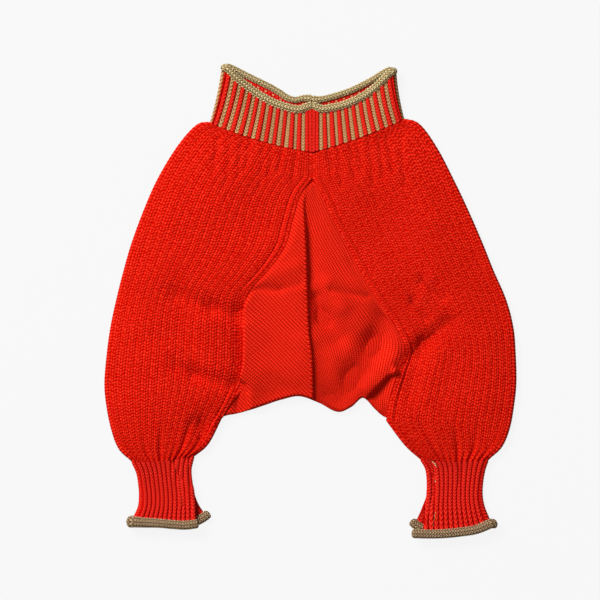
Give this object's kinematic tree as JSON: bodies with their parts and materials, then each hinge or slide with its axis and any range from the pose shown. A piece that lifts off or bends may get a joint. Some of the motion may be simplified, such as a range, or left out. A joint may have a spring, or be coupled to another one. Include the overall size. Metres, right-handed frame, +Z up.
{
  "type": "knitted harem pants, laid flat",
  "caption": "Child's knitted harem pants laid flat: ribbed legs, large crotch gusset, striped rib waistband, ribbed cuffs and curled edges.",
  "frame": {"origin": "middle of the garment's box, on the surface that its back lies on", "axes": "+Z up out of the front, +Y towards the waist, +X towards the leg on the right of the picture"},
  "size_m": [0.3826, 0.437, 0.0137],
  "materials": {
    "leg_knit": "orange-red wool in a half-cardigan rib, soft and matt",
    "gusset_knit": "orange-red wool in plain stockinette, soft and matt",
    "waist_knit": "orange-red raised wales with sunk tan stripes",
    "cuff_knit": "orange-red wool in a one by one rib",
    "edge_knit": "tan wool in stockinette, curled with its purl side out"
  },
  "bodies": {
    "root": {"waistband_left": "waist_knit", "waistband_right": "waist_knit", "waist_roll_left": "edge_knit", "waist_roll_right": "edge_knit", "leg_left": "leg_knit", "leg_right": "leg_knit", "gusset": "gusset_knit", "cuff_left": "cuff_knit", "cuff_right": "cuff_knit", "cuff_roll_left": "edge_knit", "cuff_roll_right": "edge_knit"}
  },
  "joints": []
}
